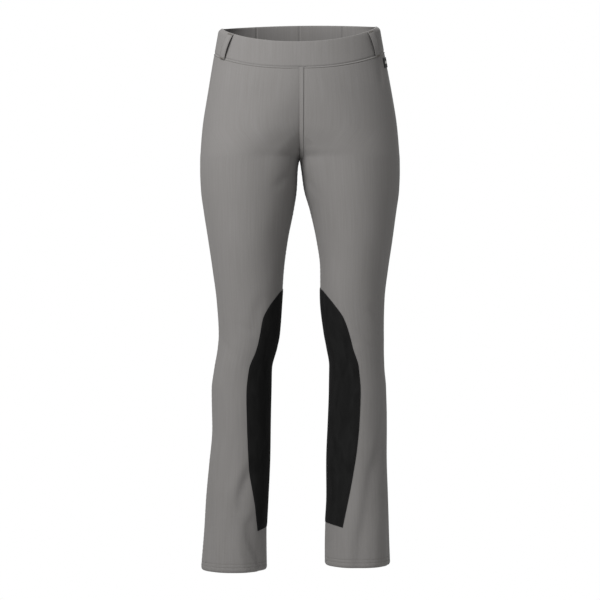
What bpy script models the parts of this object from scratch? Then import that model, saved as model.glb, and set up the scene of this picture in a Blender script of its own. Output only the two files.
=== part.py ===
"""Riding breeches, filled out as they are when worn: a pull-on waistband with belt loops, boot-cut legs
and grip patches round the inner legs.

Metres, +Z up. The wearer faces -Y, so the wearer's right leg is at -X. The origin is the middle of the
waist opening, level with its sides, where the wearer holds the garment up.

Every cloth piece lies on one form. A horizontal section of the form is one ellipse for each leg. Above the
crotch the two ellipses are cut off where they meet in the plane X = 0, and their corners trace the crotch seam.
Angles run round a leg's ellipse: 0 is the outer side, 90 the front, 180 the inner leg and 270 the back.
"""

import math

import bmesh
import bpy
import numpy as np

MM = 0.001
SIDES = {"right": -1, "left": 1}  # the wearer's side, and the way that it lies along X

# Cloth
CLOTH = 1.2 * MM  # two-way stretch woven
DOUBLE = 2 * CLOTH  # the waistband and the turned hem
SUEDE = 1.0 * MM  # the grip patches
STRAP = 1.6 * MM  # a belt loop, folded and stitched
TAPE = 0.8 * MM  # the label
SEAM_GAP = 0.4 * MM  # at the outer face, so about 0.3 mm through the wall
LAID_ON = 0.5 * MM  # what lies on a panel clears its facets by this

# Waist
BAND = 48 * MM  # height of the waistband
FRONT_DIP = -38 * MM  # the waist edge at the centre front, from its sides
BACK_RISE = 13 * MM  # and at the centre back
EDGE_ROUNDING = 1.5  # power of the sine that carries the edge from the sides to the centre
HIP_TILT = 0.013  # the wearer's left hip stands a little higher
LEVEL_BELOW = -190 * MM  # rows are level from here down
BACK_SEAM_X = 85 * MM  # the waistband's back seams, from the centre back

# Legs
CROTCH = -253 * MM
HEM = -1030 * MM
HEM_TURN = 17 * MM  # cloth turned up and stitched at the hem
LEFT_LIFT = 9 * MM  # the left foot stands this much higher
LIFT_FROM = -300 * MM  # and the leg takes it up from here down
SIDE_SEAM = -10.0  # degrees, so a little behind the outline seen from the front

# The form, in millimetres and degrees. Outer and inner are distances from X = 0, and a negative inner one is
# where the ellipse would end past that plane. Turn is how far the wearer's right leg is turned out, and the left
# one in. The first row is above the waist edge, which is higher at the back.
SECTION_COLUMNS = ("height", "outer_right", "inner_right", "outer_left", "inner_left", "front", "back", "turn")
SECTIONS = (
    (20, 149, -149, 149, -149, -94, 94, 0),
    (0, 152.5, -152, 152.5, -152, -96, 97, 0),
    (-50, 161.5, -150, 161.5, -150, -102, 110, 0),
    (-130, 175.5, -126, 176.5, -126, -108, 129, 0),
    (-190, 184.5, -78, 186, -78, -106, 134, 0),
    (-235, 188.5, -17, 190, -17, -102, 129, 0),
    (-253, 189.5, 0.2, 191, 0.2, -100, 124, 0),
    (-270, 189.5, 3, 191, 3, -99, 119, 0),
    (-310, 187.5, 5, 189.5, 8.5, -97, 108, 0),
    (-350, 182, 11, 184.5, 20, -94, 98, 0),
    (-405, 173.5, 22, 177, 32, -89, 86, 0),
    (-460, 165, 29, 168.5, 39, -83, 75, 0),
    (-520, 157, 33, 162, 40, -77, 65, 2),
    (-585, 153, 38, 160, 46.5, -70, 57, 7),
    (-610, 155, 43, 160, 51, -67, 58, 8),
    (-650, 162, 53, 161.5, 57.5, -62, 64, 9),
    (-690, 167, 54, 165, 57, -59, 70, 9),
    (-760, 166, 55.5, 166, 54, -58, 76, 9),
    (-830, 172, 57, 166.5, 52, -59, 77, 9),
    (-900, 178, 60, 168, 51.5, -63, 78, 10),
    (-960, 182, 63, 170.5, 49, -67, 80, 11),
    (-1030, 187, 61.5, 172.5, 48, -72, 84, 11),
)

# How far the middle column of each leg panel is from its inseam, in degrees. Where the patch is, between its two
# heights, that column is the patch's edge. The top of the patch is an arch, and the rows above and below it bend
# along with it.
PATCH_TOP = -529 * MM  # the two corners of the arch
PATCH_BOTTOM = -948 * MM
ARCH_RISE = 30 * MM
ARCH_SHOULDER = 26 * MM  # below the corners the edge turns down within this
ARCH_REACH = 52.0
ARCH_FADES = (-300 * MM, -700 * MM)  # where the rows are level again, above and below
REACH_COLUMNS = ("height", "reach")
REACH = (
    (0, 122),
    (-48, 122),
    (-150, 108),
    (-253, 80),
    (-320, 72),
    (-400, 66),
    (-480, 56),
    (-529, 52),
    (-555, 68),
    (-585, 74.5),
    (-614, 78),
    (-651, 85),
    (-699, 87),
    (-756, 85.5),
    (-810, 81),
    (-861, 72.5),
    (-905, 62.5),
    (-948, 53),
    (-970, 54),
    (-1030, 70),
)

# Belt loops. Angle is where the foot is, and lean is how many degrees further to the front its top is. None is the
# side of the one on the centre back. The facets that the other two lie on are a little inside the form, so their
# clearance is less.
LOOP_COLUMNS = ("name", "side", "angle", "lean", "clearance")
LOOPS = (
    ("belt_loop_right", "right", 29, 5.5, 0.4),
    ("belt_loop_left", "left", 27, 4.5, 0.3),
    ("belt_loop_back", None, 270, 0, 0.5),
)
LOOP_WIDTH = 15 * MM
LOOP_GAP = 3.4 * MM  # room for the belt at mid height
LOOP_OVERLAP = 4 * MM  # how far a loop goes past the waistband's seam
LOOP_ROWS = 9

# Label on the left hip
LABEL_ANGLES = (-8.0, 17.0)
LABEL_TOP = -59 * MM
LABEL_HEIGHT = 19 * MM

# The lattice of each piece
EDGE_STRIP = 4 * MM  # the first and last strip of a piece, along its seams
PATCH_STRIPS = (0, 0.05, 0.28, 0.52, 0.76, 1)  # columns from the inseam to the patch's edge
OUTER_STRIPS = (0, 0.18, 0.37, 0.56, 0.76, 0.96, 1)  # and from there to the side seam
LEG_ROW = 37 * MM
CROTCH_RISE = 52 * MM  # the rows fan out from the crotch seam over this height above the crotch
FULL_BY = 0.5  # how far the inner thighs are fuller than an ellipse at the crotch
FULL_REACH = 55 * MM
CROTCH_ROWS = 6
UNDER_CROTCH = (0, 4, 14)  # the first rows below the crotch, in millimetres from it
HEM_STEP = 0.5 * MM  # over which the wall thickens, where the hem is turned up
NEAR = 0.1 * MM

COLOURS = {
    "stretch_cloth": ((0.225, 0.217, 0.207, 1), 0.85),
    "grip_suede": ((0.011, 0.011, 0.011, 1), 0.95),
    "label_tape": ((0.008, 0.008, 0.008, 1), 0.7),
}


def column(columns, rows, name):
    """One named column of a table, from the lowest row to the highest."""
    return np.array([row[columns.index(name)] for row in rows[::-1]], float)


def smooth(at, stations, values):
    """A smooth curve through a column of values that never overshoots them."""
    step = np.diff(stations)
    slope = np.diff(values) / step
    product = slope[:-1] * slope[1:]
    mean = np.where(product > 0, 2 * product / np.where(product > 0, slope[:-1] + slope[1:], 1), 0)
    tangent = np.concatenate([slope[:1], mean, slope[-1:]])
    at = np.clip(at, stations[0], stations[-1])
    i = np.clip(np.searchsorted(stations, at) - 1, 0, len(step) - 1)
    t = (at - stations[i]) / step[i]
    rest = 1 - t
    return (
        values[i] * (1 + 2 * t) * rest**2
        + tangent[i] * step[i] * t * rest**2
        + values[i + 1] * (3 - 2 * t) * t**2
        - tangent[i + 1] * step[i] * t**2 * rest
    )


def section(name, height):
    """A column of the section table at any height, in metres."""
    heights = column(SECTION_COLUMNS, SECTIONS, "height") * MM
    return smooth(height, heights, column(SECTION_COLUMNS, SECTIONS, name) * MM)


def turn(side, height):
    """How far the leg is turned, in degrees: the right one outwards, and the left one inwards."""
    return -SIDES[side] * section("turn", height) / MM


def ellipse(side, height):
    """The leg's section: its middle in X, its half width, its middle in Y and its half depth."""
    outer = section("outer_" + side, height)
    inner = section("inner_" + side, height)
    front = section("front", height)
    back = section("back", height)
    return (outer + inner) / 2, (outer - inner) / 2, (front + back) / 2, (back - front) / 2


def row_height(side, station, angle):
    """A row's true height: near the waist it follows the sloping edge, and down the left leg it's lifted."""
    sine = np.sin(np.radians(angle))
    edge = np.where(sine > 0, FRONT_DIP, BACK_RISE) * np.abs(sine) ** EDGE_ROUNDING
    middle, half, _, _ = ellipse(side, station)
    edge = edge + HIP_TILT * SIDES[side] * (middle + half * np.cos(np.radians(angle)))
    sloping = np.clip((station - LEVEL_BELOW) / (-BAND - LEVEL_BELOW), 0, 1)
    lifted = np.clip((LIFT_FROM - station) / (LIFT_FROM - HEM), 0, 1) * LEFT_LIFT * (side == "left")
    return station + edge * sloping + lifted


def form(side, station, angle, out=0.0):
    """Points of the form, moved outwards by out. Station is a row's height before it slopes or lifts."""

    def on_form(station, angle):
        height = row_height(side, station, angle)
        level = np.where(station < LIFT_FROM, station, height)
        middle, half, middle_y, deep = ellipse(side, level)
        cosine, sine = np.cos(np.radians(angle)), np.sin(np.radians(angle))
        full = FULL_BY * np.exp(-(((station - CROTCH) / FULL_REACH) ** 2)) * np.clip(-2 * cosine, 0, 1)
        sine = np.sign(sine) * np.abs(sine) ** (1 - full)
        x = SIDES[side] * (middle + half * cosine)
        return np.stack([x, middle_y - deep * sine, height], axis=-1)

    station, angle, out = np.broadcast_arrays(station, angle, out)
    step, small = 0.5 * MM, 0.2
    up = on_form(station + step, angle) - on_form(station - step, angle)
    along = on_form(station, angle + small) - on_form(station, angle - small)
    normal = SIDES[side] * np.cross(up, along)
    return on_form(station, angle) + out[..., None] * normal / np.linalg.norm(normal, axis=-1, keepdims=True)


def centre_angle(side, station, front, gap):
    """Where a row ends at the middle of the body: on the plane X = gap, or on the inseam further down."""
    middle_angle = 90.0 if front else 270.0
    angle = middle_angle
    for _ in range(6):  # the row's height depends on the angle, and the angle on the height
        height = row_height(side, station, angle)
        middle, half, _, deep = ellipse(side, np.where(station < LIFT_FROM, station, height))
        past = np.degrees(np.arccos(np.clip((gap - middle) / half, -1, 1)))
        angle = np.where(front, past, 360 - past)
    inseam = 180 + turn(side, station)
    clear = np.degrees(SEAM_GAP / 2 / deep)
    on_inseam = inseam - clear if front else inseam + clear
    nearer = np.minimum if front else np.maximum
    return np.where(station > CROTCH, nearer(angle, on_inseam), on_inseam)


def side_angle(side, station, front):
    """The side seam, less half of its gap. Seen from the back panel it is a whole turn further on."""
    _, _, _, deep = ellipse(side, station)
    clear = np.degrees(SEAM_GAP / 2 / deep)
    seam = SIDE_SEAM + turn(side, station)
    return seam + clear if front else seam + 360 - clear


def even_rows(start, end):
    """Rows about LEG_ROW apart, without the first one."""
    return np.linspace(start, end, round((start - end) / LEG_ROW) + 1)[1:]


def panel_stations():
    """The rows of a leg panel, from the waistband's seam to the hem."""
    top = -BAND - SEAM_GAP
    body = np.linspace(top - EDGE_STRIP, CROTCH + CROTCH_RISE, 6)[:-1]
    above = CROTCH + CROTCH_RISE * np.linspace(1, 0, CROTCH_ROWS + 1)[:-1] ** 2
    below = CROTCH - np.array(UNDER_CROTCH) * MM
    shoulder = PATCH_TOP - ARCH_SHOULDER
    fold = HEM + HEM_TURN
    return np.concatenate(
        [
            [top],
            body,
            above,
            below,
            even_rows(below[-1], PATCH_TOP),
            [shoulder],
            even_rows(shoulder, PATCH_BOTTOM),
            even_rows(PATCH_BOTTOM, fold + EDGE_STRIP),
            [fold + HEM_STEP, fold, HEM],
        ]
    )


def panel_lattice(side, stations, front):
    """The station and the angle of each point of a leg panel, from the centre seam or inseam to the side seam."""
    toward_side = -1 if front else 1
    centre = centre_angle(side, stations, front, SEAM_GAP / 2)[:, None]
    outer = side_angle(side, stations, front)[:, None]
    reach = smooth(stations, column(REACH_COLUMNS, REACH, "height") * MM, column(REACH_COLUMNS, REACH, "reach"))
    middle = (180 + turn(side, stations) + toward_side * reach)[:, None]
    strips = np.array(PATCH_STRIPS)
    angles = np.concatenate(
        [centre + (middle - centre) * strips, middle + (outer - middle) * OUTER_STRIPS[1:]], axis=1
    )
    fan = np.clip((stations - CROTCH) / CROTCH_RISE, 0, 1)
    fan = CROTCH_RISE * (np.sqrt(fan) - fan)
    away = np.concatenate([strips, np.ones(len(OUTER_STRIPS) - 1)])
    start, end = ARCH_FADES
    bent = np.interp(-stations, (-start, -PATCH_TOP, -end), (0, 1, 0))[:, None]
    arch = np.clip(1 - ((angles - centre) / ARCH_REACH) ** 2, 0, 1)
    return stations[:, None] + fan[:, None] * away + ARCH_RISE * bent * arch, angles


def add_piece(name, colour, points, thickness, outwards=False, thin_rows=None):
    """A wall of cloth: a grid laid through the points, thickened by Solidify to one side of it.

    thin_rows marks the rows that have half the thickness, where the cloth isn't turned double."""
    rows, columns = points.shape[:2]
    grid = bmesh.new()
    bmesh.ops.create_grid(grid, x_segments=columns - 1, y_segments=rows - 1, size=1)
    for vertex, point in zip(grid.verts, points.reshape(-1, 3)):
        vertex.co = point
    mesh = bpy.data.meshes.new(name)
    grid.to_mesh(mesh)
    grid.free()
    piece = bpy.data.objects.new(name, mesh)
    PIECES.objects.link(piece)
    mesh.materials.append(MATERIALS[colour])
    wall = piece.modifiers.new("wall", "SOLIDIFY")
    wall.thickness = thickness
    wall.offset = 1 if outwards else -1
    wall.use_even_offset = True
    if thin_rows is not None:
        double = piece.vertex_groups.new(name="double")
        for row in np.flatnonzero(~thin_rows):
            double.add([int(row) * columns + i for i in range(columns)], 1, "REPLACE")
        wall.vertex_group = double.name
        wall.thickness_vertex_group = 0.5
    return piece


def facing_out(points, side):
    """Points whose columns run with a rising angle, in the order that turns the grid's faces outwards."""
    return points if SIDES[side] > 0 else points[:, ::-1]


def leg_panel(side, front):
    """A front or back panel, from the waistband to the hem."""
    stations = panel_stations()
    points = form(side, *panel_lattice(side, stations, front))
    points[:, 0, 0] = np.where(stations > CROTCH, SIDES[side] * SEAM_GAP / 2, points[:, 0, 0])
    points = facing_out(points[:, ::-1] if front else points, side)
    name = ("front_" if front else "back_") + side
    return add_piece(name, "stretch_cloth", points, DOUBLE, thin_rows=stations > HEM + HEM_TURN + NEAR)


def band_stations():
    return np.array([0, -EDGE_STRIP, -BAND / 2, -BAND + EDGE_STRIP, -BAND])


def waistband():
    """The front piece goes from side seam to side seam. Each half of the back is two pieces.

    Their columns are the leg panels' own, so that the seam between them stays even. The back seam takes the place
    of the column nearest to it."""
    stations = band_stations()
    nearest = len(PATCH_STRIPS) - 1
    fronts = []
    for side in SIDES:
        front = form(side, *panel_lattice(side, stations, True))
        front[:, 0, 0] = 0
        fronts.append(front)
        middle, half, _, deep = ellipse(side, stations)
        seam = (360 - np.degrees(np.arccos((BACK_SEAM_X - middle) / half)))[:, None]
        clear = np.degrees(SEAM_GAP / 2 / deep)[:, None]
        _, angles = panel_lattice(side, stations, False)
        halves = {
            "waistband_back_": np.concatenate([angles[:, :nearest], seam - clear], axis=1),
            "waistband_side_": np.concatenate([seam + clear, angles[:, nearest + 1 :]], axis=1),
        }
        for name, angles in halves.items():
            points = form(side, stations[:, None], angles)
            if name == "waistband_back_":
                points[:, 0, 0] = SIDES[side] * SEAM_GAP / 2
            add_piece(name + side, "stretch_cloth", facing_out(points, side), DOUBLE)
    right, left = fronts
    add_piece("waistband_front", "stretch_cloth", np.concatenate([left[:, :0:-1], right], axis=1), DOUBLE)


def patch(side):
    """A grip patch: the inner columns of both panels, moved outwards and joined across the inseam."""
    stations = panel_stations()
    stations = stations[(stations < PATCH_TOP + NEAR) & (stations > PATCH_BOTTOM - NEAR)]
    halves = [panel_lattice(side, stations, front) for front in (True, False)]
    heights, angles = (
        np.concatenate([front[:, :0:-1], (front[:, :1] + back[:, :1]) / 2, back[:, 1:]], axis=1)
        for front, back in ([half[:, : len(PATCH_STRIPS)] for half in pair] for pair in zip(*halves))
    )
    points = form(side, heights, angles, LAID_ON)
    add_piece("patch_" + side, "grip_suede", facing_out(points, side), SUEDE, outwards=True)


def belt_loop(name, side, angle, lean, clearance):
    """A strap from the waist edge to just below the waistband's seam, standing off it for the belt."""
    stations = np.linspace(-1 * MM, -BAND - LOOP_OVERLAP, LOOP_ROWS)
    along = np.linspace(0, 1, LOOP_ROWS)
    rise = clearance * MM + LOOP_GAP * np.sin(math.pi * along) ** 0.8
    place = side or "right"
    _, half, _, deep = ellipse(place, stations)
    angle = angle + lean * (1 - along)
    slant = np.radians(angle)
    speed = np.hypot(half * np.sin(slant), deep * np.cos(slant))
    spread = np.degrees(LOOP_WIDTH / 2 / speed)
    if side:
        angles = angle[:, None] + spread[:, None] * np.linspace(-1, 1, 3)
        points = form(side, stations[:, None], angles, rise[:, None])
    else:
        centre = centre_angle(place, stations, False, 0.0)
        angles = centre[:, None] + spread[:, None] * np.linspace(0, 1, 2)
        half_loop = form(place, stations[:, None], angles, rise[:, None])
        half_loop[:, 0, 0] = 0
        mirrored = half_loop[:, :0:-1] * [-1, 1, 1]
        points = np.concatenate([mirrored, half_loop], axis=1)
    add_piece(name, "stretch_cloth", facing_out(points, place), STRAP, outwards=True)


def label():
    """A woven label, sewn flat over the left side seam below the waistband."""
    stations = np.linspace(LABEL_TOP, LABEL_TOP - LABEL_HEIGHT, 3)
    angles = np.linspace(*LABEL_ANGLES, 7)
    points = form("left", stations[:, None], angles[None, :], LAID_ON)
    add_piece("label", "label_tape", facing_out(points, "left"), TAPE, outwards=True)


def make_material(name):
    colour, roughness = COLOURS[name]
    material = bpy.data.materials.new(name)
    material.use_nodes = True
    shader = material.node_tree.nodes["Principled BSDF"]
    shader.inputs["Base Color"].default_value = colour
    shader.inputs["Roughness"].default_value = roughness
    shader.inputs["Metallic"].default_value = 0.0
    return material


for leftover in list(bpy.data.objects):
    bpy.data.objects.remove(leftover)
PIECES = bpy.data.collections.new("riding_breeches")
bpy.context.scene.collection.children.link(PIECES)
MATERIALS = {name: make_material(name) for name in COLOURS}

waistband()
for wearer_side in SIDES:
    leg_panel(wearer_side, front=True)
    leg_panel(wearer_side, front=False)
    patch(wearer_side)
for loop in LOOPS:
    belt_loop(**dict(zip(LOOP_COLUMNS, loop)))
label()
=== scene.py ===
"""Riding breeches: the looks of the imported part.

The cloth is made again as a fine thin shell on the form that the solids follow, with its folds, seams, turned
edges and stitches. Every piece reads the same form and the same folds, so what is sewn on stays on the cloth.

Lengths are metres, except in the tables and where a name says otherwise. Angles run round a leg: 0 is the outer
side, 90 the front, 180 the inner leg and 270 the back.
"""

import math

import bpy
import numpy as np
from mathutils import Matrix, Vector


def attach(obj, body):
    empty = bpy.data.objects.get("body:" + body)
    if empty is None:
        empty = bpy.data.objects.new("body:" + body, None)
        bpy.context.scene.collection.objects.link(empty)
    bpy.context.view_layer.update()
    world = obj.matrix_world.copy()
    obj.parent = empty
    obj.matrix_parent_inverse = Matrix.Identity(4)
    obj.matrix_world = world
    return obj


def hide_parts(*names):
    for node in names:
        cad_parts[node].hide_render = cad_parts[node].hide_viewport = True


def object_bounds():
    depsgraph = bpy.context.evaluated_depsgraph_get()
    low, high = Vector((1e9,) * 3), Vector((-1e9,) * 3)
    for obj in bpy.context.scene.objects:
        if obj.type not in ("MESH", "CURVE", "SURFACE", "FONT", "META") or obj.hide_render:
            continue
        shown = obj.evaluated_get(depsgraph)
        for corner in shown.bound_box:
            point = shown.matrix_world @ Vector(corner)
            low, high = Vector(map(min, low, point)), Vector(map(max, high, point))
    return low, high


MM = 0.001
SIDES = {"right": -1, "left": 1}  # the wearer's side, and the way that it lies along X

# Cloth
CLOTH = 1.0 * MM
SUEDE = 0.8 * MM
TAPE = 0.7 * MM
FOLD_RADIUS = 1.2 * MM  # where cloth is turned over a hem or the waist edge
SEAM_DIP = 0.9 * MM  # the cloth turns in at a seam
SEAM_REACH = 1.4 * MM

# Waist
BAND = 48 * MM
FRONT_DIP = -38 * MM
BACK_RISE = 13 * MM
EDGE_ROUNDING = 1.5
HIP_TILT = 0.013
LEVEL_BELOW = -190 * MM
BACK_SEAM_X = 85 * MM
CURL = 6 * MM  # at the sides the waist edge curls in this far
CURL_DEPTH = 9 * MM
HEM_CURL = 2 * MM  # the hem's edge curls in this far, all round
HEM_CURL_HEIGHT = 6 * MM

# Legs
CROTCH = -253 * MM
CROTCH_RISE = 52 * MM
FULL_BY = 0.5  # how far the inner thighs are fuller than an ellipse at the crotch
FULL_REACH = 55 * MM
HEM = -1030 * MM
HEM_TURN = 17 * MM
LEFT_LIFT = 9 * MM
LIFT_FROM = -300 * MM
SIDE_SEAM = -10.0
CENTRE_FADE = 25 * MM  # the folds of the two sides end before they meet in the middle

# Seams and stitches
FELL_WIDTH = 7.4 * MM  # the raised seam down the middle
FELL_LINES = (0.2, 0.85)  # its two rows of stitches, as shares of its width
WAIST_STITCH = 4.4 * MM  # below the waist seam
HEM_STITCHES = (10 * MM, 16 * MM)  # the twin needle's rows, above the hem
STITCHES = {  # how far apart the stitches are, how long each is and how wide, in millimetres
    "waist": (3.0, 2.1, 0.6),
    "hem": (3.0, 2.2, 0.6),
    "patch": (3.0, 2.2, 0.6),
    "felled": (2.6, 1.9, 0.5),
    "loop_edge": (2.6, 2.0, 0.55),
    "bartack": (0.8, 2.4, 0.6),
    "label": (2.0, 1.5, 0.45),
}

# Belt loops
LOOP_WIDTH = 15 * MM
LOOP_GAP = 3.9 * MM  # how far its middle stands off the waistband
LOOP_THICK = 1.7 * MM
LOOP_CLEAR = 0.3 * MM  # under its two ends
LOOP_OVERLAP = 4 * MM  # how far its foot goes past the waist seam
LOOPS = {  # the side, the angle at the foot, and how many degrees further to the front the top is
    "belt_loop_right": ("right", 29.0, 5.5),
    "belt_loop_left": ("left", 27.0, 4.5),
    "belt_loop_back": (None, 270.0, 0.0),
}

# The label, on the wearer's left hip
LABEL_ANGLES = (-8.0, 17.0)
LABEL_TOP = -59 * MM
LABEL_HEIGHT = 19 * MM
LABEL_OUT = 1.3 * MM  # its face, from the cloth
BAR_ANGLES = (2, 13)
BAR_ROWS = (0.38, 0.62)  # shares of the label's height
BAR_OUT = 1.42 * MM
BAR_THICK = 0.3 * MM

# The form, in millimetres and degrees, as the solids have it.
SECTION_COLUMNS = (
    "height", "outer_right", "inner_right", "outer_left", "inner_left", "front", "back", "turn"
)  # fmt: skip
SECTIONS = (
    (20, 149, -149, 149, -149, -94, 94, 0),
    (0, 152.5, -152, 152.5, -152, -96, 97, 0),
    (-50, 161.5, -150, 161.5, -150, -102, 110, 0),
    (-130, 175.5, -126, 176.5, -126, -108, 129, 0),
    (-190, 184.5, -78, 186, -78, -106, 134, 0),
    (-235, 188.5, -17, 190, -17, -102, 129, 0),
    (-253, 189.5, 0.2, 191, 0.2, -100, 124, 0),
    (-270, 189.5, 3, 191, 3, -99, 119, 0),
    (-310, 187.5, 5, 189.5, 8.5, -97, 108, 0),
    (-350, 182, 11, 184.5, 20, -94, 98, 0),
    (-405, 173.5, 22, 177, 32, -89, 86, 0),
    (-460, 165, 29, 168.5, 39, -83, 75, 0),
    (-520, 157, 33, 162, 40, -77, 65, 2),
    (-585, 153, 38, 160, 46.5, -70, 57, 7),
    (-610, 155, 43, 160, 51, -67, 58, 8),
    (-650, 162, 53, 161.5, 57.5, -62, 64, 9),
    (-690, 167, 54, 165, 57, -59, 70, 9),
    (-760, 166, 55.5, 166, 54, -58, 76, 9),
    (-830, 172, 57, 166.5, 52, -59, 77, 9),
    (-900, 178, 60, 168, 51.5, -63, 78, 10),
    (-960, 182, 63, 170.5, 49, -67, 80, 11),
    (-1030, 187, 61.5, 172.5, 48, -72, 84, 11),
)

# The grip patch: its bottom edge, and how far each of its edges is from the inseam, in degrees.
PATCH_TOP = -498 * MM
PATCH_BOTTOM = -948 * MM
PATCH_ARCH = 60 * MM  # the rows are closer together over this much of its top
PATCH_WIDER = {"right": 1.01, "left": 0.975}
PATCH_SAG = 6 * MM  # the bottom corners hang this much lower than its middle
PATCH_SAG_FROM = 90 * MM  # and the sag begins this far above its bottom
PATCH_OUT = 1.1 * MM  # the face of the suede, from the cloth
PATCH_STITCH = 2.4 * MM  # its edge stitches, from its edge
PATCH_COLUMNS = ("height", "reach")
PATCH = (
    (-499, 4),
    (-505, 24),
    (-514, 37),
    (-529, 52),
    (-555, 68),
    (-585, 74.5),
    (-614, 78),
    (-651, 85),
    (-699, 87),
    (-756, 85.5),
    (-810, 81),
    (-861, 72.5),
    (-905, 62.5),
    (-948, 53),
)

# Soft folds, each along a path of angles and heights. Depth is in millimetres: below nought is a trough and
# above it a ridge. Width is from the middle to where it has mostly faded, on the lower-angle side and on the
# other one.
FOLD_COLUMNS = ("side", "path", "depth", "width", "other_width")
FOLDS = (
    # the lower legs, in front
    ("right", ((117, -815), (112, -840), (102, -867), (98, -886), (99, -925)), -4.0, 12, 19),
    ("right", ((97, -820), (90, -860), (80, -905)), 1.6, 14, 12),
    ("right", ((130, -912), (115, -945), (119, -968), (126, -985), (139, -1008), (147, -1030)), -4.2, 9, 21),
    ("right", ((100, -930), (98, -980), (112, -1030)), 2.2, 16, 12),
    ("right", ((30, -880), (42, -960), (50, -1030)), -1.6, 16, 16),
    ("left", ((18, -735), (43, -800), (63, -848), (71, -890), (81, -950), (88, -980), (92, -1030)), -4.4, 24, 13),
    ("left", ((108, -900), (114, -960), (117, -1030)), 1.6, 14, 18),
    ("left", ((40, -900), (52, -960), (56, -1030)), 1.8, 16, 14),
    ("left", ((18, -930), (20, -990), (16, -1030)), -1.8, 12, 12),
    # the knees, in front
    ("right", ((118, -505), (104, -540), (96, -590)), -1.6, 12, 12),
    ("right", ((70, -560), (95, -578), (112, -606)), -1.2, 9, 9),
    ("right", ((30, -590), (55, -612), (80, -640)), -1.0, 10, 10),
    ("left", ((60, -530), (34, -566), (8, -590)), -1.6, 11, 11),
    ("left", ((86, -570), (58, -606), (30, -622)), -1.3, 10, 10),
    ("left", ((116, -620), (98, -600), (80, -604)), -0.9, 9, 9),
    # from the crotch, in front
    ("right", ((168, -275), (140, -290), (118, -316)), -1.8, 11, 11),
    ("left", ((160, -250), (138, -234), (120, -222)), -1.5, 8, 10),
    ("left", ((170, -278), (150, -300), (132, -330)), -1.3, 10, 10),
    # under the seat and behind the knees
    ("right", ((212, -268), (240, -284), (272, -280), (298, -266)), -3.4, 9, 12),
    ("left", ((214, -270), (244, -288), (276, -283), (300, -270)), -3.1, 9, 12),
    ("right", ((222, -300), (246, -322), (270, -330)), -1.4, 9, 10),
    ("left", ((226, -306), (250, -330), (280, -334)), -1.5, 9, 10),
    ("right", ((232, -560), (262, -574), (304, -562)), -2.6, 8, 9),
    ("right", ((228, -606), (268, -598), (312, -616)), -2.2, 8, 8),
    ("right", ((250, -640), (284, -650), (318, -640)), -1.6, 8, 9),
    ("left", ((228, -552), (266, -568), (300, -560)), -2.4, 8, 9),
    ("left", ((236, -598), (272, -590), (316, -604)), -2.5, 8, 8),
    ("left", ((244, -634), (276, -646), (306, -640)), -1.7, 8, 9),
    # down the backs of the lower legs
    ("right", ((250, -850), (262, -930), (256, -1030)), -3.2, 12, 15),
    ("right", ((300, -800), (312, -900), (306, -1030)), -2.6, 14, 12),
    ("left", ((246, -870), (240, -940), (248, -1030)), -3.0, 13, 12),
    ("left", ((296, -780), (284, -880), (290, -1030)), -3.4, 12, 15),
    # beside the label, which is stiffer than the cloth
    ("left", ((23, -50), (25, -76), (28, -116)), -2.8, 7, 11),
)

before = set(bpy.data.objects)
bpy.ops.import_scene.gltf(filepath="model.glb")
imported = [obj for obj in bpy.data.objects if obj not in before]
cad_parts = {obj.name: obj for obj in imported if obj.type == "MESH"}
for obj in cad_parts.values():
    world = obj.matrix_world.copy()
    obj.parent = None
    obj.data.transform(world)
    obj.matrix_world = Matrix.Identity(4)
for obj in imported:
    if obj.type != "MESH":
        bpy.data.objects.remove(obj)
cad_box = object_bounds()


# ---------------------------------------------------------------------------------------------- the form


def column(columns, rows, name):
    """One named column of a table, from the lowest row to the highest."""
    return np.array([row[columns.index(name)] for row in rows[::-1]], float)


def smooth(at, stations, values):
    """A smooth curve through a column of values that never overshoots them."""
    step = np.diff(stations)
    slope = np.diff(values) / step
    product = slope[:-1] * slope[1:]
    mean = np.where(product > 0, 2 * product / np.where(product > 0, slope[:-1] + slope[1:], 1), 0)
    tangent = np.concatenate([slope[:1], mean, slope[-1:]])
    at = np.clip(at, stations[0], stations[-1])
    i = np.clip(np.searchsorted(stations, at) - 1, 0, len(step) - 1)
    t = (at - stations[i]) / step[i]
    rest = 1 - t
    return (
        values[i] * (1 + 2 * t) * rest**2
        + tangent[i] * step[i] * t * rest**2
        + values[i + 1] * (3 - 2 * t) * t**2
        - tangent[i + 1] * step[i] * t**2 * rest
    )


def section(name, height):
    heights = column(SECTION_COLUMNS, SECTIONS, "height") * MM
    return smooth(height, heights, column(SECTION_COLUMNS, SECTIONS, name) * MM)


def turn(side, height):
    """How far the leg is turned, in degrees: the right one outwards, and the left one inwards."""
    return -SIDES[side] * section("turn", height) / MM


def ellipse(side, height):
    """The leg's section: its middle in X, its half width, its middle in Y and its half depth."""
    outer = section("outer_" + side, height)
    inner = section("inner_" + side, height)
    front = section("front", height)
    back = section("back", height)
    return (outer + inner) / 2, (outer - inner) / 2, (front + back) / 2, (back - front) / 2


def row_height(side, station, angle):
    """A row's true height: near the waist it follows the sloping edge, and down the left leg it's lifted."""
    sine = np.sin(np.radians(angle))
    edge = np.where(sine > 0, FRONT_DIP, BACK_RISE) * np.abs(sine) ** EDGE_ROUNDING
    middle, half, _, _ = ellipse(side, station)
    edge = edge + HIP_TILT * SIDES[side] * (middle + half * np.cos(np.radians(angle)))
    sloping = np.clip((station - LEVEL_BELOW) / (-BAND - LEVEL_BELOW), 0, 1)
    lifted = np.clip((LIFT_FROM - station) / (LIFT_FROM - HEM), 0, 1) * LEFT_LIFT * (side == "left")
    return station + edge * sloping + lifted


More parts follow.
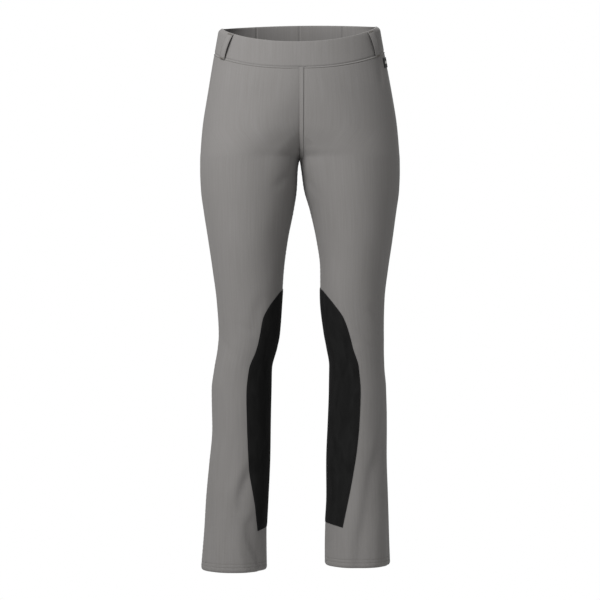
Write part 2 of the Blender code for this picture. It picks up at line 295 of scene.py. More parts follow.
def form(side, station, angle):
    """Points of the form and its outward directions."""

    def on_form(station, angle):
        height = row_height(side, station, angle)
        level = np.where(station < LIFT_FROM, station, height)
        middle, half, middle_y, deep = ellipse(side, level)
        cosine, sine = np.cos(np.radians(angle)), np.sin(np.radians(angle))
        full = FULL_BY * np.exp(-(((station - CROTCH) / FULL_REACH) ** 2)) * np.clip(-2 * cosine, 0, 1)
        sine = np.sign(sine) * np.abs(sine) ** (1 - full)
        x = SIDES[side] * (middle + half * cosine)
        return np.stack([x, middle_y - deep * sine, height], axis=-1)

    step, small = 0.5 * MM, 0.2
    up = on_form(station + step, angle) - on_form(station - step, angle)
    along = on_form(station, angle + small) - on_form(station, angle - small)
    normal = SIDES[side] * np.cross(up, along)
    return on_form(station, angle), normal / np.linalg.norm(normal, axis=-1, keepdims=True)


def degree(side, station):
    """About how long one degree is round the leg there."""
    _, half, _, deep = ellipse(side, station)
    return math.pi / 180 * np.sqrt(half * deep)


def centre_angle(side, station, front, gap=0.0):
    """Where a row ends at the middle of the body: on the plane X = gap, or on the inseam further down."""
    angle = 90.0 if front else 270.0
    for _ in range(6):  # the row's height depends on the angle, and the angle on the height
        height = row_height(side, station, angle)
        middle, half, _, deep = ellipse(side, np.where(station < LIFT_FROM, station, height))
        past = np.degrees(np.arccos(np.clip((gap - middle) / half, -1, 1)))
        angle = np.where(front, past, 360 - past)
    inseam = 180 + turn(side, station)
    clear = np.degrees(gap / deep)
    on_inseam = inseam - clear if front else inseam + clear
    body = np.minimum(angle, on_inseam) if front else np.maximum(angle, on_inseam)
    return np.where(station > CROTCH, body, on_inseam)


def side_angle(side, station, front):
    """The side seam. Seen from the back panel it is a whole turn further on."""
    return SIDE_SEAM + turn(side, station) + (0 if front else 360)


# --------------------------------------------------------------------------------------------- the folds


def fold_height(side, station, angle, path, depth, width, other_width):
    """How far one fold moves the cloth out. It is deepest in the middle of its path and fades at both ends."""
    corners = np.array(path, float)
    corners[:, 1] *= MM
    scale = degree(side, station)
    lengths = np.hypot(np.diff(corners[:, 0]) * 1.15 * MM, np.diff(corners[:, 1]))
    starts = np.concatenate([[0], np.cumsum(lengths)])
    nearest = np.full(station.shape, np.inf)
    offset = np.zeros(station.shape)
    along = np.zeros(station.shape)
    turned = angle - 360 * np.round((angle - corners[:, 0].mean()) / 360)
    for i, length in enumerate(lengths):
        du = (turned - corners[i, 0]) * scale
        dv = station - corners[i, 1]
        eu = (corners[i + 1, 0] - corners[i, 0]) * scale
        ev = corners[i + 1, 1] - corners[i, 1]
        t = np.clip((du * eu + dv * ev) / (eu**2 + ev**2), 0, 1)
        away = np.hypot(du - t * eu, dv - t * ev)
        closer = away < nearest
        nearest = np.where(closer, away, nearest)
        offset = np.where(closer, du - t * eu, offset)
        along = np.where(closer, starts[i] + t * length, along)
    at = along / starts[-1]
    runs_off = corners[-1, 1] <= HEM + 1 * MM  # a fold that reaches the hem doesn't fade there
    fade = np.sin(np.pi * np.clip(at * (0.55 if runs_off else 1), 0, 1)) ** 0.8
    reach = np.where(offset < 0, width, other_width) * MM
    return depth * MM * fade * np.exp(-((nearest / reach) ** 2) * 1.6)


def relief(side, station, angle):
    """How far the cloth lies out from the form: its folds, and a slight unevenness all over."""
    station, angle = np.broadcast_arrays(np.asarray(station, float), np.asarray(angle, float))
    out = np.zeros(station.shape)
    for row in FOLDS:
        fold = dict(zip(FOLD_COLUMNS, row))
        if fold.pop("side") == side:
            out = out + fold_height(side, station, angle, **fold)
    a, h = np.radians(angle), station / MM
    wave = np.sin(3 * a + h / 41 + SIDES[side]) * np.sin(h / 67 - 2 * a) + 0.6 * np.sin(5 * a - h / 23)
    calm = np.clip((-BAND - station) / (60 * MM), 0, 1)  # the waistband is smooth
    return out + 0.35 * MM * wave * calm


def skin(side, station, angle, out=0.0):
    """Points on the cloth's outer face, moved outwards by out, and their outward directions."""
    station, angle, out = (np.asarray(v, float) for v in np.broadcast_arrays(station, angle, out))
    points, normals = form(side, station, angle)
    from_centre = np.clip(np.abs(points[..., 0]) / CENTRE_FADE, 0, 1)
    folds = relief(side, station, angle) * from_centre**2 * (3 - 2 * from_centre)
    curl = CURL * np.clip(1 + station / CURL_DEPTH, 0, 1) ** 2 * np.cos(np.radians(angle)) ** 8
    curl = curl + HEM_CURL * np.clip(1 - (station - HEM) / HEM_CURL_HEIGHT, 0, 1) ** 2
    return points + (out + folds - curl)[..., None] * normals, normals


# ------------------------------------------------------------------------------------------- making cloth


def crowded(count, crowding=0.9):
    """From 0 to 1, with fine steps at both ends, where a seam turns in."""
    t = np.linspace(0, 1, count)
    return t - crowding * np.sin(2 * np.pi * t) / (2 * np.pi)


def turned_edge(edge, way, under, step=4 * MM):
    """The rows that take cloth round a folded edge and back inside: stations, and how far out they are."""
    bend = np.linspace(0, math.pi, 7)[1:]
    stations = edge - way * FOLD_RADIUS * (1 - np.sin(bend))
    out = -FOLD_RADIUS * (1 - np.cos(bend))
    back = np.arange(FOLD_RADIUS + step, under, step)
    return (
        np.concatenate([stations, edge - way * back]),
        np.concatenate([out, np.full(len(back), -2 * FOLD_RADIUS)]),
    )


def seam_dip(*distances):
    """Cloth sinks into each of the seams that are this far away."""
    return -SEAM_DIP * sum(np.exp(-((distance / SEAM_REACH) ** 2)) for distance in distances)


def line_relief(distance, centre, height, reach):
    """A low ridge in the cloth along a line, or a groove where its height is below nought, in millimetres."""
    return height * MM * np.exp(-(((distance - centre) / (reach * MM)) ** 2))


def pucker(station, distance, pitch=9 * MM, depth=0.28 * MM):
    """The small uneven gathers that the thread pulls into the cloth beside a seam."""
    wave = np.sin(2 * np.pi * station / pitch + 2 * np.sin(station / (31 * MM)))
    return depth * wave * np.exp(-distance / (6 * MM))


def finish_mesh(piece, slot, thickness=None):
    """Applies the wall to a sheet, smooths its shading and says what it rides on and is made of."""
    bpy.ops.object.select_all(action="DESELECT")
    bpy.context.view_layer.objects.active = piece
    piece.select_set(True)
    if thickness:
        wall = piece.modifiers.new("wall", "SOLIDIFY")
        wall.thickness = thickness
        wall.offset = -1
        wall.use_even_offset = False
        bpy.ops.object.modifier_apply(modifier=wall.name)
    bpy.ops.object.shade_smooth_by_angle(angle=math.radians(50))
    piece.data.materials.append(MATERIALS[slot])
    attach(piece, "root")
    return piece


def cloth(name, slot, points, outward, thickness, replaces=None):
    """A sheet through a grid of points, as a shell with its grain in the UV map, in metres.

    Returns the piece and its flat size: width, length and area."""
    rows, columns = points.shape[:2]
    across = np.linalg.norm(np.diff(points, axis=1), axis=-1)
    u = np.concatenate([np.zeros((rows, 1)), np.cumsum(across, axis=1)], axis=1)
    grain = columns // 2
    u = u - u[:, grain : grain + 1]
    down = np.linalg.norm(np.diff(points[:, grain], axis=0), axis=-1)
    v = -np.concatenate([[0], np.cumsum(down)])
    i = np.arange(rows - 1)[:, None] * columns + np.arange(columns - 1)
    quads = np.stack([i, i + columns, i + columns + 1, i + 1], axis=-1).reshape(-1, 4)
    middle = (rows // 4, columns // 2)
    faces_out = np.cross(
        points[middle[0] + 1, middle[1]] - points[middle], points[middle[0], middle[1] + 1] - points[middle]
    )
    if faces_out @ outward[middle] < 0:
        quads = quads[:, ::-1]
    mesh = bpy.data.meshes.new(name)
    mesh.from_pydata(points.reshape(-1, 3).tolist(), [], quads.tolist())
    grain_map = mesh.uv_layers.new(name="grain")
    corners = quads.reshape(-1)
    uv = np.stack([u.reshape(-1)[corners], np.repeat(v, columns)[corners]], axis=-1)
    grain_map.data.foreach_set("uv", uv.reshape(-1).astype(np.float32))
    piece = bpy.data.objects.new(name, mesh)
    bpy.context.scene.collection.objects.link(piece)
    finish_mesh(piece, slot, thickness)
    if replaces:
        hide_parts(replaces)
    width = u[:, -1] - u[:, 0]
    area = float(((width[:-1] + width[1:]) / 2 * down).sum())
    return piece, (float(width.max()), float(-v[-1]), area)


def spaced(line, pitch, start=0.0):
    """Places a pitch apart along a line of points, with the outward and the forward direction at each."""
    points, normals = line
    lengths = np.linalg.norm(np.diff(points, axis=0), axis=-1)
    along = np.concatenate([[0], np.cumsum(lengths)])
    at = np.arange(start + pitch / 2, along[-1] - pitch / 3, pitch)
    place = np.stack([np.interp(at, along, points[:, i]) for i in range(3)], axis=-1)
    out = np.stack([np.interp(at, along, normals[:, i]) for i in range(3)], axis=-1)
    ahead = np.stack([np.interp(at + 0.3 * MM, along, points[:, i]) for i in range(3)], axis=-1)
    forward = ahead - place
    forward -= (forward * out).sum(-1, keepdims=True) * out
    size = np.linalg.norm(forward, axis=-1, keepdims=True)
    good = size[:, 0] > 1e-7
    out = out[good] / np.linalg.norm(out[good], axis=-1, keepdims=True)
    return place[good], out, (forward / np.maximum(size, 1e-9))[good]


def sew(name, slot, lines, kind, across=False):
    """One joined mesh of stitches along the lines. Each is a low oval that dips into the cloth at its ends."""
    pitch, length, width = (size * MM for size in STITCHES[kind])
    bpy.ops.object.select_all(action="DESELECT")
    bpy.ops.mesh.primitive_uv_sphere_add(segments=6, ring_count=4, radius=0.5)
    stitch = bpy.context.object
    bpy.ops.object.mode_set(mode="EDIT")
    bpy.ops.mesh.select_all(action="SELECT")
    bpy.ops.transform.rotate(value=math.pi / 2, orient_axis="Y", center_override=(0, 0, 0))
    bpy.ops.transform.resize(value=(length, width, 0.8 * width))
    bpy.ops.object.mode_set(mode="OBJECT")
    shape = np.array([vertex.co for vertex in stitch.data.vertices])
    faces = [np.array(polygon.vertices) for polygon in stitch.data.polygons]
    bpy.data.objects.remove(stitch)
    vertices, polygons = [], []
    for line in lines:
        for place, out, forward in zip(*spaced(line, pitch)):
            sideways = np.cross(out, forward)
            axes = (sideways, -forward, out) if across else (forward, sideways, out)
            first = len(vertices) * len(shape)
            vertices.append(place + shape @ np.array(axes))
            polygons += [(face + first).tolist() for face in faces]
    mesh = bpy.data.meshes.new(name)
    mesh.from_pydata(np.concatenate(vertices).tolist(), [], polygons)
    piece = bpy.data.objects.new(name, mesh)
    bpy.context.scene.collection.objects.link(piece)
    return finish_mesh(piece, slot)


# ---------------------------------------------------------------------------------------------- the pieces


def panel_rows():
    """The rows of a leg panel, from the waist seam to the hem and up inside it: stations and how far out."""
    top = -BAND
    ridge = top - np.array([0, 0.4, 0.8, 1.3, 1.9, 2.5, 3.1, 3.7, 4.3, 5, 6, 8]) * MM
    body = np.arange(ridge[-1] - 4 * MM, CROTCH + CROTCH_RISE, -4 * MM)
    crotch = CROTCH + CROTCH_RISE * np.linspace(1, 0, 28) ** 2
    leg = np.arange(CROTCH - 2 * MM, HEM + HEM_TURN + 4 * MM, -4 * MM)
    hem = np.arange(HEM + HEM_TURN + 2 * MM, HEM + FOLD_RADIUS, -1 * MM)
    outer = np.concatenate([ridge, body, crotch, leg, hem])
    stations, out = turned_edge(HEM, -1, HEM_TURN)
    return np.concatenate([outer, stations]), np.concatenate([np.zeros(len(outer)), out])


def leg_panel(side, front):
    stations, out = panel_rows()
    centre = centre_angle(side, stations, front)[:, None]
    outer = side_angle(side, stations, front)[:, None]
    across = crowded(74)
    angles = centre + (outer - centre) * across
    fan = np.clip((stations - CROTCH) / CROTCH_RISE, 0, 1)
    fan = (CROTCH_RISE * (np.sqrt(fan) - fan))[:, None]
    heights = stations[:, None] + fan * np.clip(across * 2.4, 0, 1)
    width = np.abs(outer - centre) * degree(side, stations)[:, None]
    inner_seam, side_seam = across * width, (1 - across) * width
    below_waist = -BAND - stations[:, None] + 0 * across
    shown = np.isclose(out, 0)[:, None]
    felled = np.where(stations > CROTCH, 0.35, 1)[:, None]  # it sinks less where it is sewn down flat
    shape = felled * seam_dip(inner_seam) + seam_dip(side_seam, below_waist)
    shape += pucker(stations[:, None], side_seam) + pucker(stations[:, None] + 4 * MM, inner_seam)
    shape += line_relief(below_waist, 2.4 * MM, 0.75, 1.2)  # the seam's allowance, inside
    shape += line_relief(below_waist, WAIST_STITCH, -0.45, 0.7)
    for stitch in HEM_STITCHES:
        shape += line_relief(stations[:, None] - HEM, stitch, -0.35, 0.8)
    if side == "left":  # the centre seam is felled towards this side, and draws the cloth in beside it
        shape += line_relief(inner_seam - FELL_WIDTH, 0.8 * MM, -0.9, 1.2) * (stations[:, None] > CROTCH)
    name = ("front_" if front else "back_") + side
    points, outward = skin(side, heights, angles, out[:, None] + np.where(shown, shape, 0))
    points[:, 0, 0] = np.where(stations > CROTCH, 0, points[:, 0, 0])
    return cloth(name + "_cloth", "cloth", points, outward, CLOTH, name)


def band_rows():
    """The rows of the waistband, up its outside, over the waist edge and down its inside."""
    seam = -BAND + np.array([0, 0.5, 1, 1.6, 2.4, 3.6, 5.5, 8]) * MM
    face = np.arange(seam[-1] + 3 * MM, -FOLD_RADIUS, 3 * MM)
    stations, out = turned_edge(0, 1, BAND - 1 * MM, 3 * MM)
    outer = np.concatenate([seam, face, [-FOLD_RADIUS]])
    return np.concatenate([outer, stations]), np.concatenate([np.zeros(len(outer)), out])


def band_piece(name, stretches):
    """A stretch of waistband, from one or two runs: side, angles at its start and end, which ends are seams."""
    stations, out = band_rows()
    points, outward, distance = [], [], []
    for side, start, end, seams in stretches:
        across = crowded(64 if len(stretches) == 2 else 44)
        angles = start[:, None] + (end - start)[:, None] * across
        width = np.abs(end - start)[:, None] * degree(side, stations)[:, None]
        ends = [across * width, (1 - across) * width]
        shown = np.where(np.isclose(out, 0), 1, -1)[:, None]
        dip = seam_dip(*[ends[i] for i in seams], stations[:, None] + BAND + 0 * across)
        p, n = skin(side, stations[:, None], angles, out[:, None] + shown * dip)
        points.append(p)
        outward.append(n)
    if len(stretches) == 2:
        points[0][:, -1, 0] = 0
        points = [points[0][:, :-1], points[1]]
        outward = [outward[0][:, :-1], outward[1]]
        points[1][:, 0, 0] = 0
    return cloth(
        name + "_cloth", "cloth", np.concatenate(points, axis=1), np.concatenate(outward, axis=1), CLOTH, name
    )


def waistband():
    """The front goes from side seam to side seam. Each half of the back is two pieces."""
    stations, _ = band_rows()
    made = {}
    fronts = [
        ("left", side_angle("left", stations, True), centre_angle("left", stations, True), (0,)),
        ("right", centre_angle("right", stations, True), side_angle("right", stations, True), (1,)),
    ]
    made["waistband_front"] = band_piece("waistband_front", fronts)
    for side in SIDES:
        middle, half, _, _ = ellipse(side, stations)
        seam = 360 - np.degrees(np.arccos((BACK_SEAM_X - middle) / half))
        outer = side_angle(side, stations, False)
        centre = centre_angle(side, stations, False)
        for part, start, end in (("side_", seam, outer), ("back_", centre, seam)):
            name = "waistband_" + part + side
            made[name] = band_piece(name, [(side, start, end, (0, 1))])
    return made


def patch_reach(side, station):
    heights = column(PATCH_COLUMNS, PATCH, "height") * MM
    return PATCH_WIDER[side] * smooth(station, heights, column(PATCH_COLUMNS, PATCH, "reach"))


def patch_heights():
    arch = PATCH_TOP - PATCH_ARCH * np.linspace(0, 1, 36) ** 2
    rest = np.arange(PATCH_TOP - PATCH_ARCH, PATCH_BOTTOM, -4 * MM)[1:]
    return np.concatenate([arch, rest, [PATCH_BOTTOM]])


def patch_sag(station, across):
    low = np.clip((PATCH_BOTTOM + PATCH_SAG_FROM - station) / PATCH_SAG_FROM, 0, 1)
    return PATCH_SAG * across**2 * low**2


def patch(side):
    """A grip patch, on both panels across the inseam. Its raw edge is stitched down flat."""
    stations = patch_heights()
    across = 2 * crowded(90, 0.8) - 1
    reach = patch_reach(side, stations)[:, None]
    angles = 180 + turn(side, stations)[:, None] + reach * across
    from_edge = (1 - np.abs(across)) * reach * degree(side, stations)[:, None]
    from_end = np.minimum(stations - PATCH_BOTTOM, 1.2 * (PATCH_TOP - stations))[:, None]
    near = np.minimum(from_edge, from_end)
    out = PATCH_OUT - 0.35 * MM * np.exp(-near / (0.8 * MM))
    out = out + line_relief(near, PATCH_STITCH, -0.4, 0.9)
    heights = stations[:, None] - patch_sag(stations[:, None], across)
    points, outward = skin(side, heights, angles, out)
    return cloth("patch_" + side + "_suede", "suede", points, outward, SUEDE, "patch_" + side)


def patch_edge(side):
    """The line of the patch's edge stitches, all round it."""
    stations = patch_heights()
    stations = stations[(stations < PATCH_TOP - 2 * MM) & (stations > PATCH_BOTTOM + PATCH_STITCH)]
    inseam = 180 + turn(side, stations)
    reach = patch_reach(side, stations) - PATCH_STITCH / degree(side, stations)
    low = stations[-1]
    bottom = np.linspace(-1, 1, 40) * reach[-1]
    sides = stations - patch_sag(stations, 1)
    heights = np.concatenate([sides, low - patch_sag(low, bottom / reach[-1]), sides[::-1]])
    angles = np.concatenate([inseam - reach, inseam[-1] + bottom, (inseam + reach)[::-1]])
    return skin(side, heights, angles, PATCH_OUT - 0.25 * MM)


def loop_place(name, along, across, out):
    """A point of a belt loop. Along goes from 0 at its top to 1 at its foot, and across from -1 to 1."""
    side, angle, lean = LOOPS[name]
    place = side or "right"
    angle = angle + lean * (1 - along)
    station = -1 * MM - (BAND + LOOP_OVERLAP - 1 * MM) * along
    _, half, _, deep = ellipse(place, station)
    slant = np.radians(angle)
    spread = np.degrees(LOOP_WIDTH / 2 / np.hypot(half * np.sin(slant), deep * np.cos(slant)))
    rise = LOOP_THICK + LOOP_CLEAR + LOOP_GAP * np.sin(np.pi * np.clip(along, 0, 1)) ** 0.7 + out
    if side:
        return skin(side, station, angle + spread * across, rise)
    centre = centre_angle("right", station, False)
    points, outward = skin("right", station, centre + spread * np.abs(across), rise)
    mirror = np.stack([np.where(across > 0, -1.0, 1.0), np.ones_like(across), np.ones_like(across)], axis=-1)
    return points * mirror, outward * mirror


def belt_loop(name):
    along, across = np.meshgrid(crowded(46, 0.6), 2 * crowded(25, 0.75) - 1, indexing="ij")
    edge = 1 - np.abs(across)
    out = -0.75 * MM * np.exp(-edge / 0.07) - 0.25 * MM * np.exp(-(((edge - 0.25) / 0.09) ** 2))
    points, outward = loop_place(name, along, across, out)
    strap = cloth(name + "_strap", "cloth", points, outward, LOOP_THICK - LOOP_CLEAR, name)
    t = np.linspace(0.03, 0.97, 80)
    edges = [loop_place(name, t, np.full(80, s), -0.1 * MM) for s in (-0.75, 0.75)]
    sewing = sew(name + "_edge_stitches", "thread", edges, "loop_edge")
    s = np.linspace(-0.86, 0.86, 40)
    tacks = [loop_place(name, np.full(40, at), s, 0.15 * MM) for at in (0.025, 0.055, 0.945, 0.975)]
    tacking = sew(name + "_bartacks", "thread", tacks, "bartack", across=True)
    return strap, (sewing, tacking)


def felled_seam(front):
    """The seam down the middle of the front or back, folded over towards the left and sewn down flat."""
    stations = np.concatenate(
        [
            np.arange(-BAND - 1.5 * MM, CROTCH + CROTCH_RISE, -3 * MM),
            CROTCH + 1 * MM + (CROTCH_RISE - 1 * MM) * np.linspace(1, 0, 24) ** 2,
        ]
    )
    offsets = FELL_WIDTH * np.array([0, 0.04, 0.09, 0.16, 0.25, 0.4, 0.55, 0.7, 0.82, 0.91, 0.97, 1])
    crown = np.array([0.0, 0.35, 0.65, 0.8, 0.75, 0.95, 1.0, 0.95, 0.8, 1.1, 1.0, 0.5]) * MM
    angles = np.stack([centre_angle("left", stations, front, offset) for offset in offsets], axis=1)
    out = crown + pucker(stations, 0, 7 * MM, 0.15 * MM)[:, None]
    points, outward = skin("left", stations[:, None], angles, out)
    points[:, 0, 0] = 0
    name = "seam_front" if front else "seam_back"
    strip, _ = cloth(name, "cloth", points, outward, 0.5 * MM)
    lines = []
    for offset in FELL_LINES:
        angles = centre_angle("left", stations, front, FELL_WIDTH * offset)
        lines.append(skin("left", stations, angles, 0.75 * MM))
    return strip, sew(name + "_stitches", "thread", lines, "felled")


def waist_stitches():
    """A row of stitches all the way round, just below the waist seam."""
    angles = np.linspace(-89.6, 89.6, 400)
    lines = [skin(side, np.full(400, -BAND - WAIST_STITCH), angles, -0.3 * MM) for side in SIDES]
    return sew("waist_stitches", "thread", lines, "waist")


def hem_stitches(side):
    """The twin needle's two rows round one hem."""
    angles = np.linspace(0, 360, 400)
    lines = [skin(side, np.full(400, HEM + up), angles, -0.2 * MM) for up in HEM_STITCHES]
    return sew("hem_stitches_" + side, "thread", lines, "hem")


def label():
    """A woven label on the left hip, with a plain pale bar woven across it."""
    stations = np.linspace(LABEL_TOP, LABEL_TOP - LABEL_HEIGHT, 40)
    angles = np.linspace(*LABEL_ANGLES, 60)
    from_edge = np.minimum(
        np.minimum(LABEL_TOP - stations, stations - LABEL_TOP + LABEL_HEIGHT)[:, None],
        (np.minimum(angles - LABEL_ANGLES[0], LABEL_ANGLES[1] - angles) * 1.8 * MM)[None, :],
    )
    out = LABEL_OUT - 0.4 * MM * np.exp(-from_edge / (0.6 * MM))
    points, outward = skin("left", stations[:, None], angles[None, :], out)
    tape, cut = cloth("label_tape", "label", points, outward, TAPE, "label")
    bar_rows = np.linspace(*[LABEL_TOP - share * LABEL_HEIGHT for share in BAR_ROWS], 10)
    bar_angles = np.linspace(*BAR_ANGLES, 40)
    points, outward = skin("left", bar_rows[:, None], bar_angles[None, :], BAR_OUT)
    bar, _ = cloth("label_bar", "label_bar", points, outward, BAR_THICK)
    rows = (LABEL_TOP - 1 * MM, LABEL_TOP - LABEL_HEIGHT + 1 * MM)
    edge = [skin("left", np.full(40, row), angles[5:45], 1.25 * MM) for row in rows]
    return tape, cut, bar, sew("label_stitches", "black_thread", edge, "label")


# ------------------------------------------------------------------------------------------- the materials


def linear(colour):
    """An sRGB colour, written as six hex digits, as the linear one that shaders take."""
    values = [int(colour[i : i + 2], 16) / 255 for i in (1, 3, 5)]
    return (*[v / 12.92 if v <= 0.04045 else ((v + 0.055) / 1.055) ** 2.4 for v in values], 1)


def add_node(tree, kind, settings=None, inputs=None):
    """Adds a node, with its settings, and with each input set to a value or linked from a socket."""
    node = tree.nodes.new("ShaderNode" + kind)
    for name, value in (settings or {}).items():
        setattr(node, name, value)
    for name, value in (inputs or {}).items():
        if isinstance(value, bpy.types.NodeSocket):
            tree.links.new(value, node.inputs[name])
        else:
            node.inputs[name].default_value = value
    return node


def new_material(name, roughness, sheen, sheen_roughness, specular=0.2):
    material = bpy.data.materials.new(name)
    material.use_nodes = True
    shader = material.node_tree.nodes["Principled BSDF"]
    shader.inputs["Roughness"].default_value = roughness
    shader.inputs["Sheen Weight"].default_value = sheen
    shader.inputs["Sheen Roughness"].default_value = sheen_roughness
    shader.inputs["Specular IOR Level"].default_value = specular
    return material, material.node_tree, shader


def stretched(tree, coordinates, across, down):
    """Coordinates for a pattern whose grains are this wide and this long, in metres."""
    scale = (1 / across, 1 / down, 1 / across)
    return add_node(tree, "Mapping", None, {"Vector": coordinates, "Scale": scale}).outputs["Vector"]


def noise(tree, grain, across, down, detail, distortion=0.0):
    """An uneven pattern whose grains are this wide and this long, in metres."""
    inputs = {"Vector": stretched(tree, grain, across, down), "Scale": 1.0}
    return add_node(tree, "TexNoise", None, inputs | {"Detail": detail, "Distortion": distortion})


def bands(tree, grain, direction, pitch):
    """Even bands across the grain map, this far apart."""
    inputs = {"Vector": grain, "Scale": 2 * math.pi / 20 / pitch, "Distortion": 0.0}
    return add_node(tree, "TexWave", {"wave_type": "BANDS", "bands_direction": direction}, inputs)


def blend(tree, *shares):
    """The sum of several patterns, each times its share."""
    total = 0.0
    for pattern, share in shares:
        inputs = {0: pattern.outputs["Fac"], 1: share, 2: total}
        total = add_node(tree, "Math", {"operation": "MULTIPLY_ADD"}, inputs).outputs[0]
    return total


def surface(tree, shader, tone, dark, light, ends, height, strength, depth):
    """Colours the material from dark to light with the tone, and makes it rough with the height."""
    ramp = add_node(tree, "ValToRGB", None, {"Fac": tone})
    for element, colour, position in zip(ramp.color_ramp.elements, (dark, light), ends):
        element.position = position
        element.color = linear(colour)
    bump = add_node(tree, "Bump", None, {"Strength": strength, "Distance": depth, "Height": height})
    tree.links.new(ramp.outputs["Color"], shader.inputs["Base Color"])
    tree.links.new(bump.outputs["Normal"], shader.inputs["Normal"])


def stretch_woven():
    """Matt grey stretch woven in polyamide and elastane. Fine cords run down it and catch a little light, each
    slightly paler or darker than the next, and a soft bloom pales it at the edges of the leg."""
    material, tree, shader = new_material("stretch_woven_grey", 0.88, 0.05, 0.5)
    grain = add_node(tree, "TexCoord").outputs["UV"]
    streaks = noise(tree, grain, 2.6 * MM, 90 * MM, 3.0)
    heather = noise(tree, grain, 1.1 * MM, 2.2 * MM, 2.0)
    fade = noise(tree, grain, 90 * MM, 160 * MM, 2.0)
    tone = blend(tree, (streaks, 0.5), (heather, 0.3), (fade, 0.2))
    # The cords are about 1 mm apart. They are drawn 2.4 mm apart, so that they show.
    cords = bands(tree, grain, "X", 2.4 * MM)
    height = blend(tree, (cords, 0.5), (heather, 0.5))
    surface(tree, shader, tone, "#6A6866", "#737170", (0.30, 0.70), height, 0.45, 0.25 * MM)
    return material


def grip_suede():
    """Black microfibre suede. Its short nap lies unevenly, so it is matt with soft paler strokes, and it has a
    fine grit."""
    material, tree, shader = new_material("microfibre_suede_black", 0.95, 0.01, 0.35, 0.05)
    grain = add_node(tree, "TexCoord").outputs["UV"]
    nap = noise(tree, grain, 14 * MM, 46 * MM, 4.0, 0.6)
    grit = noise(tree, grain, 0.9 * MM, 1.1 * MM, 3.0)
    tone = blend(tree, (nap, 0.7), (grit, 0.3))
    surface(tree, shader, tone, "#131313", "#1C1C1C", (0.32, 0.68), grit.outputs["Fac"], 0.5, 0.3 * MM)
    return material


def spun_thread(name, dark, light):
    """Spun polyester sewing thread, matt, with the tone going up and down along its twist."""
    material, tree, shader = new_material(name, 0.8, 0.1, 0.5)
    place = add_node(tree, "TexCoord").outputs["Object"]
    twist = add_node(tree, "TexNoise", None, {"Vector": place, "Scale": 1 / (1.2 * MM), "Detail": 2.0})
    fac = twist.outputs["Fac"]
    surface(tree, shader, fac, dark, light, (0.35, 0.65), fac, 0.3, 0.1 * MM)
    return material


def damask_tape(name, dark, light):
    """Damask label tape in filament polyester: smooth, with fine ribs across it and a slight gloss."""
    material, tree, shader = new_material(name, 0.55, 0.0, 0.5)
    grain = add_node(tree, "TexCoord").outputs["UV"]
    # The ribs are about 0.3 mm apart. They are drawn 0.9 mm apart.
    fac = bands(tree, grain, "Y", 0.9 * MM).outputs["Fac"]
    surface(tree, shader, fac, dark, light, (0, 1), fac, 0.3, 0.1 * MM)
    return material


MATERIALS = {
    "cloth": stretch_woven(),
    "suede": grip_suede(),
    "thread": spun_thread("polyester_thread_grey", "#5A5753", "#6E6B66"),
    "black_thread": spun_thread("polyester_thread_black", "#101010", "#1E1E1E"),
    "label": damask_tape("damask_tape_black", "#0D0D0D", "#171717"),
    "label_bar": damask_tape("damask_tape_pale", "#B9B7B2", "#D2D0CB"),
}


# --------------------------------------------------------------------------------------- putting it together

hem_rows = {side: hem_stitches(side) for side in SIDES}
waist_row = waist_stitches()
centre_seams = {front: felled_seam(front) for front in (True, False)}
for side in SIDES:
    for front in (True, False):
        panel, cut = leg_panel(side, front)
        sewn = [hem_rows[side]] if front else []
        sewn += list(centre_seams[front]) if side == "left" else []
        sewn += [waist_row] if front and side == "right" else []
    suede, cut = patch(side)
    edge = sew("patch_" + side + "_stitches", "black_thread", [patch_edge(side)], "patch")
for name, (piece, cut) in waistband().items():
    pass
for name in LOOPS:
    (strap, cut), sewn = belt_loop(name)
tape, tape_cut, bar, tape_stitches = label()


# ------------------------------------------------------------------------------- floor, light and camera

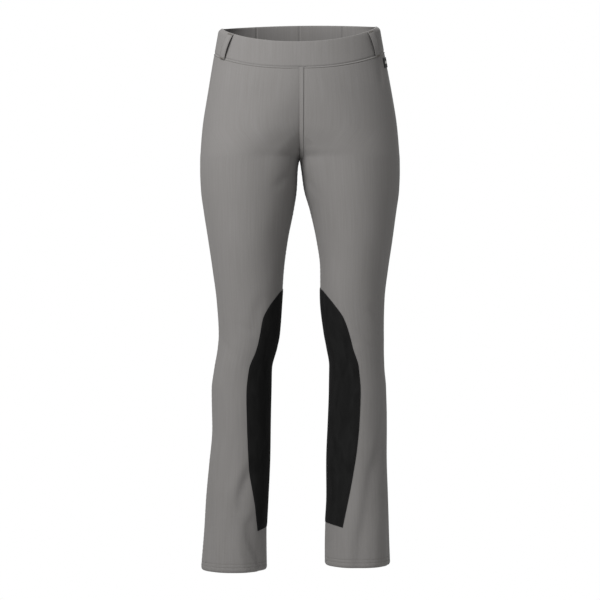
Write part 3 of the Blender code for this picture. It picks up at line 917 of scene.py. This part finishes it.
VIEW_HEIGHT = -0.519
FLOOR_BELOW = 0.45  # the garment hangs clear of the floor
FLOOR_RADIUS = 1.8
AMBIENT = 0.48  # how strongly the white surroundings light the garment
CAMERA_AWAY = 4.5
SENSOR = 36  # millimetres
LIGHTS = {  # where it is, how wide, in metres, and how strong, in watts
    "key": ((-1.30, -1.66, 1.2), 1.2, 83),
    "fill": ((1.3, -3.0, 1.3), 1.6, 11),
    "back": ((0.5, 2.6, 1.4), 1.2, 70),
}
FRAMED = 1.14  # how much the view takes in at the garment, each way


def add_floor():
    place = (0, 0, cad_box[0][2] - FLOOR_BELOW)
    bpy.ops.mesh.primitive_circle_add(vertices=96, radius=FLOOR_RADIUS, fill_type="NGON", location=place)
    floor = bpy.context.object
    floor.name = "floor"
    material, _, shader = new_material("matt_pale_floor", 0.9, 0, 0.5)
    shader.inputs["Base Color"].default_value = linear("#C6C6C5")
    floor.data.materials.append(material)


def add_light(name, place, size, power):
    lamp = bpy.data.lights.new(name, "AREA")
    lamp.shape = "DISK"
    lamp.size = size
    lamp.energy = power
    light = bpy.data.objects.new(name, lamp)
    bpy.context.scene.collection.objects.link(light)
    light.location = place
    aim = Vector((0, 0, VIEW_HEIGHT)) - light.location
    light.rotation_euler = aim.to_track_quat("-Z", "Y").to_euler()


def add_camera():
    camera = bpy.data.objects.new("camera", bpy.data.cameras.new("camera"))
    bpy.context.scene.collection.objects.link(camera)
    camera.data.sensor_width = SENSOR
    camera.data.lens = SENSOR * CAMERA_AWAY / FRAMED
    camera.location = (1 * MM, -CAMERA_AWAY, VIEW_HEIGHT)
    camera.rotation_euler = (math.pi / 2, 0, 0)
    bpy.context.scene.camera = camera


def light_world():
    """White all round to look at, and a softer light from it, so that the lamps shape the garment."""
    world = bpy.data.worlds.new("white_cove")
    world.use_nodes = True
    tree = world.node_tree
    output = tree.nodes["World Output"]
    seen = tree.nodes["Background"]
    seen.inputs["Color"].default_value = (1, 1, 1, 1)
    seen.inputs["Strength"].default_value = 1.0
    light = add_node(tree, "Background", None, {"Color": (1, 1, 1, 1), "Strength": AMBIENT})
    path = add_node(tree, "LightPath")
    inputs = {0: path.outputs["Is Camera Ray"], 1: light.outputs[0], 2: seen.outputs[0]}
    both = add_node(tree, "MixShader", None, inputs)
    tree.links.new(both.outputs[0], output.inputs["Surface"])
    bpy.context.scene.world = world
    bpy.context.scene.view_settings.view_transform = "Standard"


add_floor()
for name, settings in LIGHTS.items():
    add_light(name, *settings)
light_world()
add_camera()
